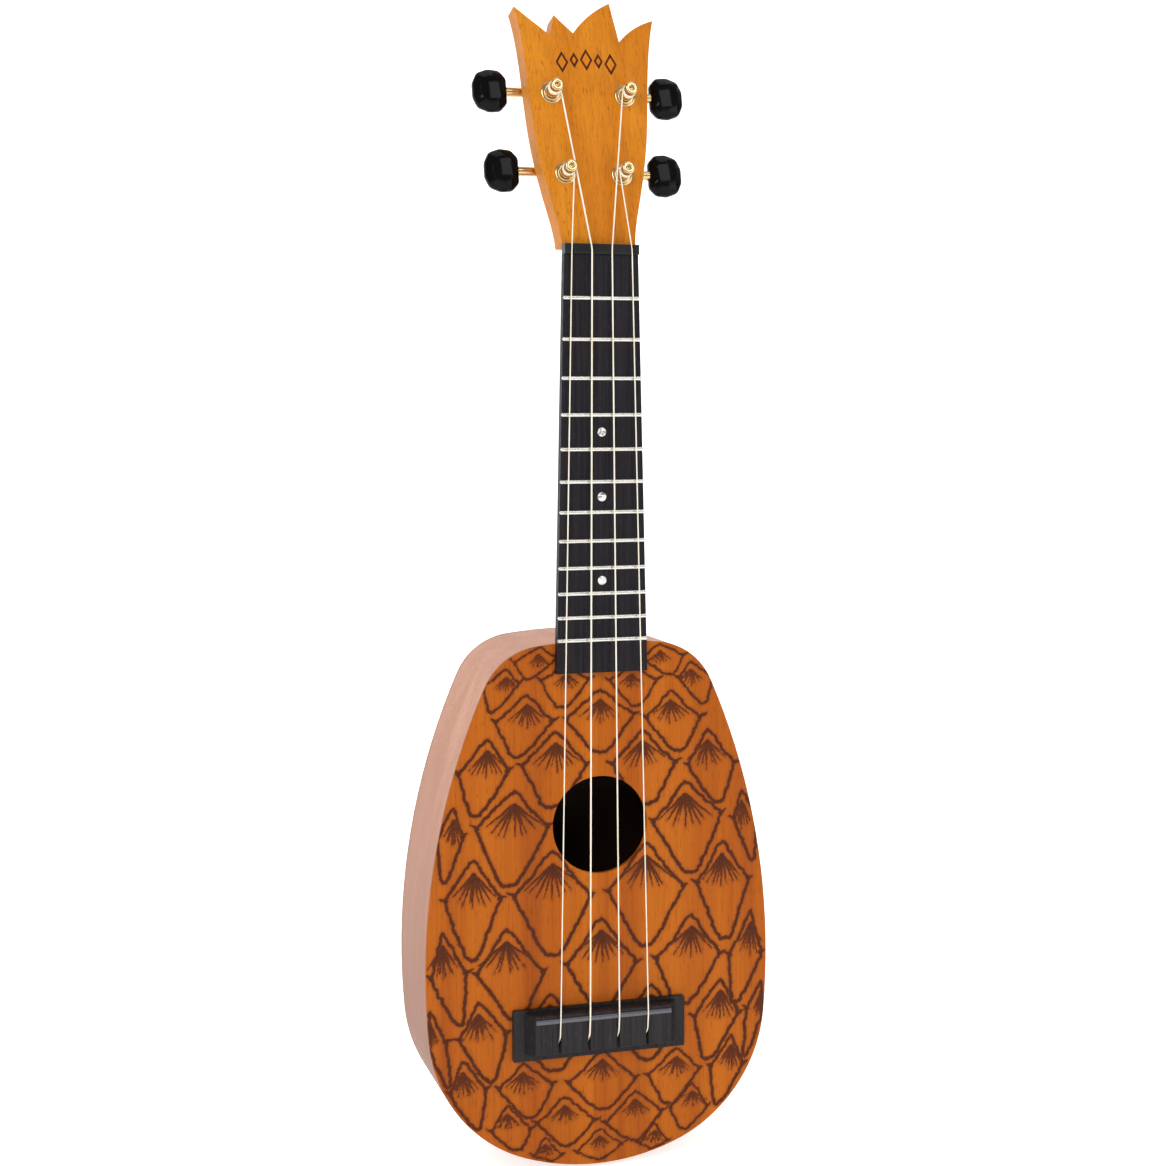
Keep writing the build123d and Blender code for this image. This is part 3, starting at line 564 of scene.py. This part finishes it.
def draw_cell(centre, z, width, rise, drop):
    """One cell's strokes: two shouldered upper edges, two lower edges, corner ticks and a tuft."""
    lean = lean_at(z)
    half = width / 2
    top = np.array([centre * (1 - 0.5 * lean), z + rise])
    low = np.array([centre * (1 + lean), z - drop])
    flat = min(2.3, 0.075 * width) * (1 + 0.4 * pen.random())
    thick = np.clip(0.75 + 0.022 * (rise + drop), 0.9, 1.55)
    made = []
    for side in (-1, 1):
        corner = np.array([centre + side * half, z + pen.normal(0, 0.8)])
        rim = top - corner
        shoulder = 0.87 + 0.05 * pen.random()
        upper = [
            corner,
            corner + rim * (0.40 + 0.06 * pen.random(), 0.38 + 0.06 * pen.random()),
            corner + rim * (0.84, shoulder),
            top,
        ]
        made.append(stroke(upper, thick, thick * 0.95))
        base = low + (side * flat, pen.normal(0, 0.5))
        fall = base - corner
        lower = [
            corner,
            corner + fall * (0.38 + 0.04 * pen.random(), 0.42 + 0.05 * pen.random()),
            corner + fall * (0.84, 0.90),
            base,
            low + (0, -0.4),
        ]
        made.append(stroke(lower, thick, thick * 1.1))
        tick = corner + np.array([side * (1.6 + 1.5 * pen.random()), 0.6 + 1.4 * pen.random()])
        made.append(stroke([corner + (-side * 0.6, 0), tick], thick * 1.5, 0.7, step=0.8, shake=0.2))
    size = np.clip((rise + drop) / 42, 0.38, 1.05)
    squeeze = min(1.0, width / (rise + drop) / 0.80)
    crown = top - (0, 1.6 + 4.2 * size)
    for angle in np.radians(np.linspace(-52, 52, 9) + pen.normal(0, 2.5, 9)):
        reach = (10.6 + 3.4 * abs(np.sin(angle)) + 2.6 * pen.random() + 2.2 * (abs(angle) < 0.12)) * size
        way = np.array([np.sin(angle) * squeeze, -np.cos(angle)])
        begin = crown + way * (0.4 + 3.0 * pen.random() * (abs(angle) < 0.8)) * size
        end = crown + way * reach * 1.12
        made.append(stroke([begin, end], 1.2 * size + 0.3, 0.42, step=1.8, shake=0.12))
    return np.concatenate(made), (crown, size, squeeze)


cells = []
for z, row in ROWS:
    for centre, width, rise, drop in row:
        for side in (-1, 1) if centre else (1,):
            jog = pen.normal(0, 0.5, 2)
            cells.append(draw_cell(side * centre + jog[0], z + jog[1], width, rise, drop))
print(len(cells), "cells,", sum(len(made) for made, _ in cells), "stroke segments")

# %% [markdown]
# The board itself is worked out from the sound hole outwards.
# Each ray runs from the hole's edge to the outline, so both edges are exact,
# and the two halves meet on the centre line, as a bookmatched front does.

# %% Burned front


def burn_distance(x, z):
    """Distance in mm from each point to the edge of the nearest stroke; negative inside it."""
    result = np.full(x.shape, 3.0)
    for made, _ in cells:
        ends = made[:, :4].reshape(-1, 2)
        low, high = ends.min(0) - 2.5, ends.max(0) + 2.5
        near = np.nonzero((x > low[0]) & (x < high[0]) & (z > low[1]) & (z < high[1]))[0]
        for group in np.array_split(made, max(1, len(made) // 40)):
            a, b = group[:, None, 0:2], group[:, None, 2:4]
            p = np.stack([x[near], z[near]], axis=-1)[None]
            run = b - a
            t = np.clip(((p - a) * run).sum(-1) / np.maximum((run * run).sum(-1), 1e-9), 0, 1)
            away = np.linalg.norm(p - a - t[..., None] * run, axis=-1)
            away -= group[:, None, 4] + t * (group[:, None, 5] - group[:, None, 4])
            result[near] = np.minimum(result[near], away.min(0))
    return result


def tuft_shade(x, z):
    """Scorch round the root of each tuft: full at the root, gone a few mm down and to the sides."""
    result = np.zeros(x.shape)
    for _, (crown, size, squeeze) in cells:
        u, v = (x - crown[0]) / squeeze, crown[1] - z
        inside = np.clip((v * 1.2 + 0.6 - np.abs(u)) / 0.8, 0, 1)
        fade = np.clip(1.5 - v / (6.2 * size), 0, 1)
        result = np.maximum(result, inside * fade)
    return result


front_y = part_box("soundboard")[0][1]
plate = np.array([v.co for v in parts["soundboard"].data.vertices])
rim = plate[np.abs(plate[:, 1] - front_y) < 1e-5][:, [0, 2]] / MM
hole_z, hole_r = -259.15, 22.6
BOARD_THICKNESS = 2.0
ray = rim - (0, hole_z)
outline = np.unique(np.round(rim[np.hypot(*ray.T) > hole_r + 2], 4), axis=0)
body_top, body_bottom = outline[:, 1].max(), outline[:, 1].min()


def half_board(side, rays=520, steps=165):
    """One half: rays by arc length along the outline, and a closed loop of points along each ray."""
    mine = outline[outline[:, 0] * side > 1e-3]
    order = np.argsort(np.abs(np.arctan2(mine[:, 0], mine[:, 1] - hole_z)))
    edge = np.vstack([[0, body_top], mine[order], [0, body_bottom]])
    along = np.concatenate([[0], np.cumsum(np.hypot(*np.diff(edge, axis=0).T))])
    s = np.linspace(0, along[-1], rays)
    outer = np.stack([np.interp(s, along, edge[:, i]) for i in (0, 1)], axis=1)
    way = outer - (0, hole_z)
    reach = np.hypot(*way.T)
    way /= reach[:, None]
    way[0], way[-1] = (0, 1), (0, -1)
    front, back = front_y / MM, front_y / MM + BOARD_THICKNESS
    bend_at = np.radians([0, 30, 60, 90])
    ratio = np.linspace(0, 1, steps)
    inset_in, inset_out = 0.25, 0.4
    inner_round = inset_in * np.stack([1 - np.cos(bend_at), 1 - np.sin(bend_at)], axis=1)
    flat = hole_r + inset_in + (reach[:, None] - inset_out - hole_r - inset_in) * ratio[None]
    near_hole = hole_r + inner_round[:-1, 0]
    far = reach[:, None] - inset_out * (1 - np.sin(bend_at[1:]))[None]
    distance = np.hstack([
        np.full((rays, 1), hole_r), np.broadcast_to(near_hole, (rays, 3)), flat, far,
        reach[:, None],
    ])
    y = np.concatenate([
        [back], front + inner_round[:-1, 1], np.full(steps, front),
        front + inset_out * (1 - np.cos(bend_at[1:])), [back],
    ])
    y = np.broadcast_to(y, distance.shape)
    x = way[:, 0:1] * distance
    z = hole_z + way[:, 1:2] * distance
    columns = distance.shape[1]
    quads = grid_faces(rays, columns, ring=True)
    if side < 0:
        quads = quads[:, ::-1]
    first, last = np.arange(columns), (rays - 1) * columns + np.arange(columns)
    caps = [first[::-1], last] if side > 0 else [first, last[::-1]]
    points = np.stack([x, y, z], axis=-1).reshape(-1, 3)
    name = "front_treble_half" if side > 0 else "front_bass_half"
    piece = new_piece(name, points * MM, [*quads, *caps])
    on_front = points[:, 1] < back - 0.5
    burn = np.where(on_front, burn_distance(points[:, 0], points[:, 2]), 3.0)
    scorch = np.where(on_front, tuft_shade(points[:, 0], points[:, 2]), 0.0)
    for key, values in (("stroke_distance", burn), ("tuft_scorch", scorch)):
        piece.data.attributes.new(key, "FLOAT", "POINT").data.foreach_set("value", values)
    return piece


halves = [half_board(side) for side in (-1, 1)]


def outward(piece):
    """Makes the faces look outward: a closed mesh with negative volume is turned inside out."""
    shape = bmesh.new()
    shape.from_mesh(piece.data)
    volume = shape.calc_volume(signed=True)
    if volume < 0:
        bmesh.ops.reverse_faces(shape, faces=shape.faces)
        shape.to_mesh(piece.data)
    open_edges = sum(not edge.is_manifold for edge in shape.edges)
    shape.free()
    print(piece.name, "volume", round(abs(volume) * 1e9, 1), "mm3, open edges", open_edges)
    return piece


def sharpen(piece, angle=SHARP):
    """Marks every edge that turns more than angle as sharp, and leaves the rest smooth."""
    shape = bmesh.new()
    shape.from_mesh(piece.data)
    for edge in shape.edges:
        edge.smooth = not (edge.is_manifold and edge.calc_face_angle(0) > np.radians(angle))
    shape.to_mesh(piece.data)
    shape.free()
    return piece


def burned_wood():
    """Orange-brown wood, darkened inside the strokes and softly browned around them."""
    made, colour, rough_map, normal = wood(
        "burned front wood", shade(185, 98, 14), shade(173, 87, 10), shade(154, 72, 7), pores=0.45
    )
    attribute = node(made, "ShaderNodeAttribute")
    attribute.attribute_name = "stroke_distance"
    scorch = node(made, "ShaderNodeAttribute")
    scorch.attribute_name = "tuft_scorch"
    ragged = grain(made, (750, 750, 750), detail=3.0)
    shift = spread(made, ragged, 0.25, 0.75, -0.28, 0.28)
    total = node(made, "ShaderNodeMath")
    total.operation = "ADD"
    link(made, attribute.outputs["Fac"], total.inputs[0])
    link(made, shift, total.inputs[1])
    gap = total.outputs[0]
    halo = spread(made, gap, 0.2, 1.5, 0.30, 0.0)
    line = spread(made, gap, -0.12, 0.22, 1.0, 0.0)
    core = spread(made, gap, -0.75, -0.25, 0.75, 0.0)
    colour = blend(made, halo, colour, shade(114, 52, 8))
    soft = spread(made, scorch.outputs["Fac"], 0.0, 1.0, 0.0, 0.78)
    colour = blend(made, soft, colour, shade(96, 46, 12))
    colour = blend(made, line, colour, shade(90, 38, 6))
    colour = blend(made, core, colour, shade(58, 25, 6))
    groove = bump(made, spread(made, gap, -0.5, 0.3, 0.0, 1.0), 0.5, 0.0003, normal)
    return paint(made, colour, rough_map, groove)


front_wood = burned_wood()
for half in halves:
    outward(half)
    sharpen(half)
    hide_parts("soundboard")
    give(half, front_wood, "root")

# %% [markdown]
# A tuner button is a cut oval: a flat face, a wide slanting facet all round and a narrow girdle.
# The outline is a ten-sided oval with softened corners and a flat inner end, and rings of it
# at different sizes and depths make the facets.

# %% Buttons


def tilted(x, s, h):
    """Points on the headstock's slope in metres: x across, s up the slope, h out of its face."""
    x, s, h = np.broadcast_arrays(np.asarray(x, float), s, h)
    y = 4 + s * np.sin(TILT) - h * np.cos(TILT)
    z = 5 + s * np.cos(TILT) + h * np.sin(TILT)
    return np.stack([x, y, z], axis=-1) * MM


POSTS = {
    "g": (-13.3, 32.3, 39.0), "c": (-17.4, 69.7, 42.3), "e": (17.4, 69.7, 42.3), "a": (13.3, 32.3, 39.0)
}
WORM_ABOVE = 0.55 * 14 / 2 + 1.7  # wheel's pitch radius and worm's pitch radius
GEAR_DEPTH = 15.0


def rounded(points, radius=2.0, count=7):
    """A polyline whose corners are replaced by short quadratic curves."""
    points = np.asarray(points, float)
    line = [points[:1]]
    for before, corner, after in zip(points[:-2], points[1:-1], points[2:]):
        into, out = before - corner, after - corner
        cut = min(radius, 0.45 * np.linalg.norm(into), 0.45 * np.linalg.norm(out))
        start = corner + into / np.linalg.norm(into) * cut
        stop = corner + out / np.linalg.norm(out) * cut
        t = np.linspace(0, 1, count)[:, None]
        line.append((1 - t) ** 2 * start + 2 * t * (1 - t) * corner + t**2 * stop)
    return np.vstack([*line, points[-1:]])


def button(name):
    """Rings of the cut outline, scaled by facet and moved through the thickness."""
    x, s, reach = POSTS[name]
    side = -1 if x < 0 else 1
    corners = np.array([
        (-7.75, -5.6), (-4.6, -9.0), (0.6, -9.5), (5.6, -7.6), (7.75, -3.2),
        (7.75, 3.2), (5.6, 7.6), (0.6, 9.5), (-4.6, 9.0), (-7.75, 5.6),
    ])
    cut = rounded(np.vstack([corners[-1:], corners, corners[:1]]), 1.3, 6)[1:-1]
    across, along = 1.03 * cut[:, 0], 1.055 * cut[:, 1]
    count = len(cut)
    scale = np.array([0.58, 0.60, 0.93, 0.955, 1.0, 1.0, 0.955, 0.93, 0.60, 0.58])
    level = np.array([3.75, 3.70, 1.75, 1.55, 0.7, -0.7, -1.55, -1.75, -3.70, -3.75])
    ring_x = side * (reach + across[None] * scale[:, None])
    ring_s = s + WORM_ABOVE + along[None] * scale[:, None]
    points = tilted(ring_x, ring_s, (level - GEAR_DEPTH)[:, None]).reshape(-1, 3)
    rings = len(scale)
    quads = grid_faces(rings, count, ring=True)
    caps = [np.arange(count)[::-1], (rings - 1) * count + np.arange(count)]
    piece = new_piece(f"button_{name}_cut", points, [*quads, *caps])
    outward(piece)
    sharpen(piece, 18)
    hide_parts(f"button_{name}")
    return give(piece, button_black, f"button_shaft_{name}")


for name in NAMES:
    button(name)

# %% [markdown]
# Posts and bushings are turned on a lathe, so one profile spun round the post's axis is enough.
# The post has a rimmed top with a small blind hole, a waist for the string and a plain foot.
# The bushing is a washer with a raised collar, and its profile is a closed loop.

# %% Posts and bushings


def joined(shapes):
    """Several (points, faces) pairs as one: later faces count on from the earlier points."""
    points, faces = [], []
    total = 0
    for some_points, some_faces in shapes:
        points.append(some_points)
        faces += [np.asarray(face) + total for face in some_faces]
        total += len(some_points)
    return np.vstack(points), faces


def turned(profile, x, s, sides=40, closed=False):
    """Points (radius, height) spun round the post's axis; closed joins the last to the first."""
    profile = np.asarray(profile, float)
    angle = np.linspace(0, 2 * np.pi, sides, endpoint=False)
    r, h = profile[:, 0:1], profile[:, 1:2]
    points = tilted(x + r * np.cos(angle), s + r * np.sin(angle), h).reshape(-1, 3)
    faces = list(grid_faces(len(profile), sides, ring=True))
    last = (len(profile) - 1) * sides
    if closed:
        i = np.arange(sides)
        faces += list(np.stack([last + i, last + (i + 1) % sides, (i + 1) % sides, i], axis=1))
    else:
        faces += [np.arange(sides)[::-1], last + np.arange(sides)]
    return points, faces


POST_PROFILE = (
    (0.85, 8.9), (0.9, 10.2), (1.05, 10.42), (1.25, 10.5), (2.3, 10.5), (2.6, 10.42), (2.8, 10.22),
    (2.88, 9.95), (2.88, 8.75), (2.8, 8.5), (2.45, 8.25), (2.3, 7.95), (2.3, 4.75), (2.4, 4.5),
    (2.8, 4.35), (2.88, 4.15), (2.88, -7.98), (2.38, -8.0), (2.38, -13.2), (1.58, -13.22),
    (1.58, -16.72), (0.92, -16.72), (0.92, -11.8),
)
BUSHING_PROFILE = (
    (2.95, -7.9), (2.95, 1.05), (3.05, 1.18), (3.55, 1.2), (3.8, 1.1), (3.9, 0.85), (4.0, 0.62),
    (4.7, 0.55), (4.92, 0.42), (5.0, 0.2), (5.0, 0.02), (4.0, 0.0), (4.0, -7.9),
)
rings = []
for name in NAMES:
    x, s, _ = POSTS[name]
    points, faces = turned(POST_PROFILE, x, s)
    post = new_piece(f"string_post_{name}_turned", points, faces)
    sharpen(outward(post), 50)
    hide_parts(f"string_post_{name}")
    give(post, gold, f"post_{name}")
    rings.append(turned(BUSHING_PROFILE, x, s, closed=True))
bushings = new_piece("post_bushings_turned", *joined(rings))
sharpen(outward(bushings), 50)
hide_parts("post_bushings")
give(bushings, gold, "root")

# %% [markdown]
# A plain row of lozenges decorates the headstock, burned like the lattice on the front.
# Each lozenge is a narrow frame: an outer and an inner outline, a hair above the wood.

# %% Headstock ornament


def lozenge(x, s, half_wide, half_tall, line=1.1, lift=0.03, sink=-0.02):
    """A frame between two diamond outlines: four loops of corners joined round and closed."""
    turn_by = np.linspace(0, 2 * np.pi, 4, endpoint=False)
    inner = 1 - line / min(half_wide, half_tall)
    loops = [(1, sink), (1, lift), (inner, lift), (inner, sink)]
    points = [
        tilted(x + k * half_wide * np.cos(turn_by), s + k * half_tall * np.sin(turn_by), h)
        for k, h in loops
    ]
    faces = list(grid_faces(4, 4, ring=True))
    i = np.arange(4)
    faces += list(np.stack([12 + i, 12 + (i + 1) % 4, (i + 1) % 4, i], axis=1))
    return np.vstack(points), faces


def scorched():
    """Burned wood: dark brown with lighter flecks where the iron skipped."""
    made = finish("scorched wood", rough=0.6, specular=0.1)
    flecks = grain(made, (900, 900, 300), detail=3.0)
    return paint(made, ramp(made, flecks, [(0.3, shade(58, 24, 12)), (0.7, shade(96, 42, 18))]))


row = []
for i, x in enumerate(np.linspace(-11.5, 11.5, 5)):
    size = 1.0 if i % 2 == 0 else 0.72
    row.append(lozenge(x, 86.0 - 0.012 * x * x, 3.0 * size, 5.2 * size))
ornament = new_piece("lozenge_row", *joined(row), smooth=False)
outward(ornament)
give(ornament, scorched(), "root")

# %% [markdown]
# Each string winds round its post, runs straight to the nut, over the saddle and down
# into its slot, where a knot holds it. A circle carried along that path gives a smooth line.
# The turns on the post are a real helix, because stacked rings would look like washers.

# %% Strings
DIAMETERS = {"g": 0.6, "c": 0.8, "e": 0.7, "a": 0.6}
CLEAR = 0.1
WAIST_RADIUS, WAIST_FOOT = 2.3, 4.4
NUT_SPAN, SADDLE_SPAN, BRIDGE_OFFSET = 28.05, 42.1, -1.0
KNOT, KNOT_RADIUS = (0, 0.6, -361.9), 0.66


def tube(path, radius, sides=12):
    """A circle carried along a path; radius may change along it. Both ends are closed."""
    path = np.asarray(path, float)
    tangent = np.gradient(path, axis=0)
    tangent /= np.linalg.norm(tangent, axis=1)[:, None]
    normal = np.cross(tangent[0], [0.0, 1.0, 0.3])
    frames = []
    for direction in tangent:
        normal = normal - direction * (normal @ direction)
        normal /= np.linalg.norm(normal)
        frames.append(normal)
    first = np.array(frames)
    second = np.cross(tangent, first)
    angle = np.linspace(0, 2 * np.pi, sides, endpoint=False)
    radius = np.broadcast_to(radius, len(path))[:, None, None]
    ring = path[:, None] + radius * (
        first[:, None] * np.cos(angle)[None, :, None] + second[:, None] * np.sin(angle)[None, :, None]
    )
    quads = grid_faces(len(path), sides, ring=True)
    caps = [np.arange(sides)[::-1], (len(path) - 1) * sides + np.arange(sides)]
    return ring.reshape(-1, 3), [*quads, *caps]


def string(index, name):
    """Helix on the post, then the run over nut and saddle into the slot, then the knot."""
    x, s, _ = POSTS[name]
    side = -1 if x < 0 else 1
    r = DIAMETERS[name] / 2
    step = 0.95 * 2 * r
    wrap = WAIST_RADIUS + CLEAR + r
    nut_x = NUT_SPAN * (index / 3 - 0.5)
    saddle_x = BRIDGE_OFFSET + SADDLE_SPAN * (index / 3 - 0.5)
    gap = np.array([nut_x - x, -s])
    leave = np.arctan2(gap[1], gap[0]) - side * np.arccos(wrap / np.hypot(*gap))
    leave_h = WAIST_FOOT + CLEAR + r + 0.5 * step
    angle = leave + side * np.linspace(-3.0 * 2 * np.pi, 0, 145)
    rise = np.linspace(2.45 * step, 0, 145)
    coil = tilted(x + wrap * np.cos(angle), s + wrap * np.sin(angle), leave_h + rise)
    run = np.array([
        coil[-1] / MM, (nut_x, -1.2, 2.25), (saddle_x, -5.5 - r - CLEAR, -347),
        (saddle_x, -4.5 - r - CLEAR, -354.75), (saddle_x, KNOT[1], -360.6), (saddle_x, *KNOT[1:]),
    ])
    path = np.vstack([coil[:-1], rounded(run, 1.6) * MM])
    radius = np.full(len(path), r * MM)
    t = np.linspace(0, np.pi, 15)
    knot_z = KNOT[2] + KNOT_RADIUS * np.cos(t)
    knot_path = np.stack([np.full(15, saddle_x), np.full(15, KNOT[1]), knot_z], 1) * MM
    knot = tube(knot_path, np.maximum(KNOT_RADIUS * np.sin(t), 0.03) * MM)
    piece = new_piece(f"string_{name}_line", *joined([tube(path, radius), knot]))
    outward(piece)
    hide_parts(f"string_{name}")
    length = np.linalg.norm(np.diff(path, axis=0), axis=1).sum()
    print(name, "string length", round(length / MM, 1), "mm")
    return give(piece, nylon, "root")


for index, name in enumerate(NAMES):
    string(index, name)

# %% [markdown]
# Last, the box of the plain parts is printed again.

# %% Sizes
print("plain", [round(v, 4) for v in (*plain_box[0], *plain_box[1])])
